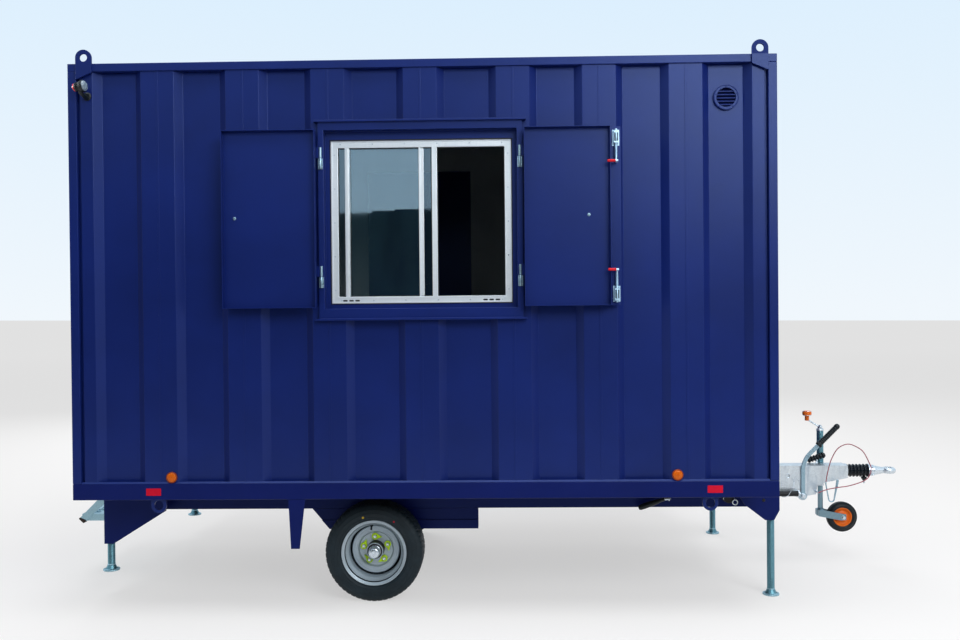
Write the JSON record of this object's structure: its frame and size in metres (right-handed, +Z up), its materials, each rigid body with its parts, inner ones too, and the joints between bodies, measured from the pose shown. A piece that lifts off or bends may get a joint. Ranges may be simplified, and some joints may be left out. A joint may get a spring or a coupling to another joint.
{
  "type": "portable site cabin",
  "caption": "Towable corrugated steel site cabin with shuttered window, doors, lifting eyes, road wheels, prop legs, overrun coupling and jockey wheel.",
  "frame": {"origin": "on the ground under the middle of the overall length and width", "axes": "+X towards the tow eye, -Y towards the window side, +Z up"},
  "size_m": [5.05, 2.4898, 2.9649],
  "materials": {
    "navy_paint": "satin",
    "floor_board": "matte",
    "aluminium": "satin",
    "glass": "gloss",
    "galvanised": "satin",
    "tyre": "matte",
    "rim_silver": "satin",
    "black_rubber": "matte",
    "black_plastic": "satin",
    "amber": "gloss",
    "orange": "satin",
    "red_cable": "gloss"
  },
  "bodies": {
    "cabin": {"bottom_frame": "navy_paint", "floor": "floor_board", "corner_posts": "navy_paint", "top_frame": "navy_paint", "roof": "navy_paint", "window_wall": "navy_paint", "far_wall_rear": "navy_paint", "far_wall_front": "navy_paint", "far_wall_over_door": "navy_paint", "front_wall": "navy_paint", "rear_wall": "navy_paint", "rear_door_frame": "navy_paint", "rear_door": "navy_paint", "side_door_frame": "navy_paint", "lifting_eyes": "navy_paint", "window_surround": "navy_paint", "window_frame": "aluminium", "sliding_sash": "aluminium", "window_glass": "glass", "shutter_hinges": "galvanised", "wall_vent": "black_plastic", "side_reflectors": "amber", "marker_lamps": "black_plastic", "lashing_rings": "navy_paint", "chassis_rails": "navy_paint", "chassis_crossmembers": "navy_paint", "axle_brackets": "navy_paint", "axle": "navy_paint", "mudflaps": "navy_paint", "leg_brackets": "navy_paint", "entry_step": "galvanised", "drawbar": "navy_paint", "coupling_housing": "galvanised", "bellows": "black_rubber", "tow_eye": "galvanised", "brake_strut": "black_plastic", "jockey_clamp": "galvanised", "jockey_tube": "galvanised", "breakaway_cable": "red_cable", "cable_hook": "galvanised"},
    "rear_shutter": {"rear_shutter": "navy_paint"},
    "front_shutter": {"front_shutter": "navy_paint", "shutter_bolts": "galvanised"},
    "side_door": {"side_door": "navy_paint"},
    "near_wheel": {"near_tyre": "tyre", "near_rim": "rim_silver"},
    "far_wheel": {"far_tyre": "tyre", "far_rim": "rim_silver"},
    "near_front_leg": {"near_front_leg": "galvanised"},
    "far_front_leg": {"far_front_leg": "galvanised"},
    "near_rear_leg": {"near_rear_leg": "galvanised"},
    "far_rear_leg": {"far_rear_leg": "galvanised"},
    "handbrake": {"handbrake_lever": "galvanised", "handbrake_grip": "black_rubber"},
    "jockey_crank": {"jockey_crank": "orange"},
    "jockey_stem": {"jockey_stem": "galvanised"},
    "jockey_fork": {"jockey_fork": "galvanised"},
    "jockey_wheel": {"jockey_tyre": "tyre", "jockey_rim": "orange"}
  },
  "joints": [
    {"name": "rear_shutter_swing", "type": "hinge", "parent": "cabin", "child": "rear_shutter", "pos_m": [-0.877, -1.169, 2.071], "axis": [0, 0, 1], "range_deg": [0, 180]},
    {"name": "front_shutter_swing", "type": "hinge", "parent": "cabin", "child": "front_shutter", "pos_m": [0.147, -1.169, 2.071], "axis": [0, 0, -1], "range_deg": [0, 180]},
    {"name": "side_door_swing", "type": "hinge", "parent": "cabin", "child": "side_door", "pos_m": [-0.957, 1.155, 1.67], "axis": [0, 0, 1], "range_deg": [0, 105]},
    {"name": "near_wheel_spin", "type": "hinge", "parent": "cabin", "child": "near_wheel", "pos_m": [-0.665, -0.7675, 0.27], "axis": [0, 1, 0], "continuous": true},
    {"name": "far_wheel_spin", "type": "hinge", "parent": "cabin", "child": "far_wheel", "pos_m": [-0.665, 0.7675, 0.27], "axis": [0, 1, 0], "continuous": true},
    {"name": "near_front_leg_slide", "type": "slide", "parent": "cabin", "child": "near_front_leg", "axis": [0, 0, 1], "range_m": [0, 0.25]},
    {"name": "far_front_leg_slide", "type": "slide", "parent": "cabin", "child": "far_front_leg", "axis": [0, 0, 1], "range_m": [0, 0.25]},
    {"name": "near_rear_leg_slide", "type": "slide", "parent": "cabin", "child": "near_rear_leg", "axis": [0, 0, 1], "range_m": [-0.148, 0]},
    {"name": "far_rear_leg_slide", "type": "slide", "parent": "cabin", "child": "far_rear_leg", "axis": [0, 0, 1], "range_m": [-0.148, 0]},
    {"name": "handbrake_swing", "type": "hinge", "parent": "cabin", "child": "handbrake", "pos_m": [1.925, -0.068, 0.418], "axis": [0, 1, 0], "range_deg": [-40, 0]},
    {"name": "jockey_crank_turn", "type": "hinge", "parent": "cabin", "child": "jockey_crank", "pos_m": [2.083, 0.087, 0.828], "axis": [0, 0, 1], "continuous": true},
    {"name": "jockey_lift", "type": "slide", "parent": "cabin", "child": "jockey_stem", "axis": [0, 0, 1], "range_m": [-0.159, 0]},
    {"name": "jockey_swivel", "type": "hinge", "parent": "jockey_stem", "child": "jockey_fork", "pos_m": [2.083, 0.087, 0.307], "axis": [0, 0, 1], "continuous": true},
    {"name": "jockey_wheel_spin", "type": "hinge", "parent": "jockey_fork", "child": "jockey_wheel", "pos_m": [2.217, 0.087, 0.254], "axis": [0, 1, 0], "continuous": true}
  ]
}
